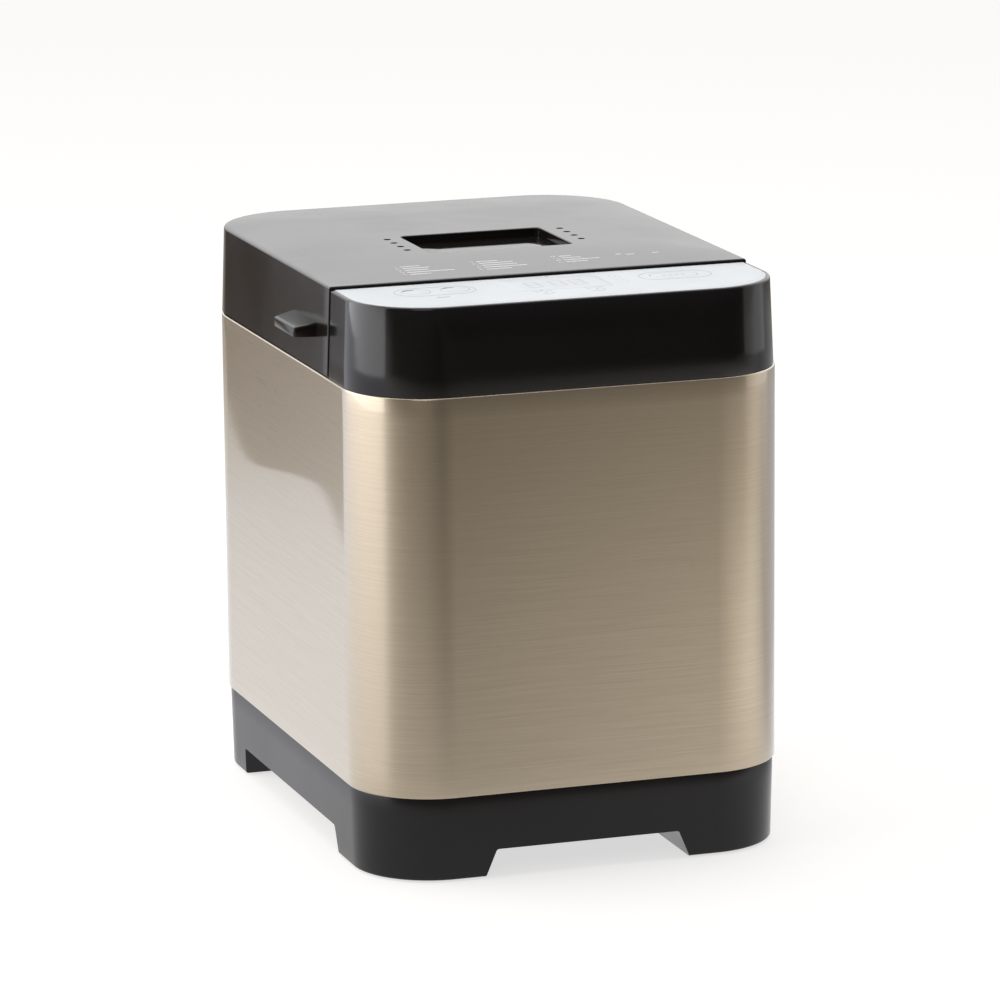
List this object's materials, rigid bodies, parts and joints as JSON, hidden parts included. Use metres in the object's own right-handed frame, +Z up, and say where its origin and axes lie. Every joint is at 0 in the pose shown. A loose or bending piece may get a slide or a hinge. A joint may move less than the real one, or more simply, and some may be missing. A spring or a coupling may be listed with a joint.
{
  "type": "bread machine",
  "caption": "Bread machine with a brushed steel wrap, black base on four feet, hinged lid with a window, sloped key panel, lift-out pan, paddle and belt drive.",
  "frame": {"origin": "middle of the overall box at the floor", "axes": "+Z up, +Y from the control head at the front to the hinge at the back, +X to the right seen from the front"},
  "size_m": [0.2582, 0.315, 0.3088],
  "materials": {
    "black_base": "satin moulded plastic",
    "black_head": "gloss moulded plastic",
    "black_lid": "gloss moulded plastic",
    "frame_plastic": "heat resistant moulded plastic",
    "brushed_champagne": "champagne tinted steel, brushed level",
    "pad_rubber": "matt rubber",
    "silicone": "heat resistant silicone",
    "gasket_rubber": "silicone",
    "panel_white": "satin printed film on plastic",
    "key_white": "satin plastic",
    "display_grey": "clear cover",
    "lcd": "liquid crystal panel",
    "circuit_board": "glass fibre board",
    "power_board": "paper board",
    "smoked_glass": "polished heat resistant glass",
    "galvanised": "galvanised sheet",
    "chamber_steel": "satin sheet steel",
    "liner_aluminium": "satin",
    "zinc_steel": "zinc plated",
    "bright_wire": "polished stainless wire",
    "heater_sheath": "oxidised steel sheath",
    "ceramic": "steatite",
    "nonstick": "dark non-stick coat",
    "cast_alloy": "die cast",
    "bronze": "sintered bronze",
    "shaft_steel": "ground steel",
    "nylon": "natural nylon",
    "belt_rubber": "reinforced rubber",
    "lamination": "varnished steel laminations"
  },
  "bodies": {
    "case": {"base_shell": "black_base", "foot_pads": "pad_rubber", "steel_wrap": "brushed_champagne", "top_frame": "frame_plastic", "uprights": "galvanised", "chassis_plate": "galvanised", "chassis_screws": "zinc_steel", "control_housing": "black_head", "housing_screws": "zinc_steel", "control_panel": "panel_white", "display_window": "display_grey", "display_module": "lcd", "control_board": "circuit_board", "board_screws": "zinc_steel", "baking_chamber": "chamber_steel", "chamber_spacers": "ceramic", "heating_element": "heater_sheath", "heater_bushes": "ceramic", "heater_clips": "galvanised", "temperature_sensor": "shaft_steel", "thermal_fuse": "ceramic", "heat_shield": "galvanised", "pan_seat": "galvanised", "bearing_housing": "cast_alloy", "output_bushes": "bronze", "drive_belt": "belt_rubber", "motor_stator": "lamination", "motor_bells": "cast_alloy", "motor_mounts": "pad_rubber", "motor_screws": "zinc_steel", "run_capacitor": "cast_alloy", "power_board": "power_board", "cord_gland": "black_base"},
    "lid": {"lid_shell": "black_lid", "lid_liner": "liner_aluminium", "lid_seal": "silicone", "window_glass": "smoked_glass", "window_gasket": "gasket_rubber", "lid_screws": "zinc_steel", "hinge_pins": "shaft_steel"},
    "pan": {"bread_pan": "nonstick", "pan_collar": "cast_alloy", "spindle_bush": "bronze", "pan_ears": "galvanised"},
    "handle": {"pan_handle": "bright_wire"},
    "spindle": {"pan_spindle": "shaft_steel", "kneading_paddle": "nonstick"},
    "output": {"output_shaft": "shaft_steel", "drive_dog": "cast_alloy", "large_pulley": "nylon"},
    "rotor": {"motor_rotor": "shaft_steel", "motor_fan": "nylon", "small_pulley": "nylon"},
    "time_up": {"key_time_up": "key_white"},
    "time_down": {"key_time_down": "key_white"},
    "start": {"key_start": "key_white"},
    "menu": {"key_menu": "key_white"},
    "crust": {"key_crust": "key_white"}
  },
  "joints": [
    {"name": "lid_hinge", "type": "hinge", "parent": "case", "child": "lid", "pos_m": [0, 0.149, 0.276], "axis": [-1, 0, 0], "range_deg": [0, 92]},
    {"name": "pan_lift", "type": "slide", "parent": "case", "child": "pan", "axis": [0, 0, 1], "range_m": [0, 0.045]},
    {"name": "handle_fold", "type": "hinge", "parent": "pan", "child": "handle", "pos_m": [0, 0.02, 0.24055], "axis": [-1, 0, 0], "range_deg": [0, 180]},
    {"name": "output_spin", "type": "hinge", "parent": "case", "child": "output", "pos_m": [0, 0.02, 0.055], "axis": [0, 0, 1], "continuous": true},
    {"name": "spindle_spin", "type": "hinge", "parent": "pan", "child": "spindle", "pos_m": [0, 0.02, 0.099], "axis": [0, 0, 1], "continuous": true},
    {"name": "motor_spin", "type": "hinge", "parent": "case", "child": "rotor", "pos_m": [0, -0.117, 0.094], "axis": [0, 0, 1], "continuous": true},
    {"name": "time_up_press", "type": "slide", "parent": "case", "child": "time_up", "axis": [0, 0, -1], "range_m": [0, 0.0008], "stiffness_N_per_m": 400},
    {"name": "time_down_press", "type": "slide", "parent": "case", "child": "time_down", "axis": [0, 0, -1], "range_m": [0, 0.0008], "stiffness_N_per_m": 400},
    {"name": "start_press", "type": "slide", "parent": "case", "child": "start", "axis": [0, 0, -1], "range_m": [0, 0.0008], "stiffness_N_per_m": 400},
    {"name": "menu_press", "type": "slide", "parent": "case", "child": "menu", "axis": [0, 0, -1], "range_m": [0, 0.0008], "stiffness_N_per_m": 400},
    {"name": "crust_press", "type": "slide", "parent": "case", "child": "crust", "axis": [0, 0, -1], "range_m": [0, 0.0008], "stiffness_N_per_m": 400}
  ],
  "couplings": [
    {"joint": "spindle_spin", "follows": "output_spin", "ratio": 1},
    {"joint": "motor_spin", "follows": "output_spin", "ratio": 5.75}
  ]
}
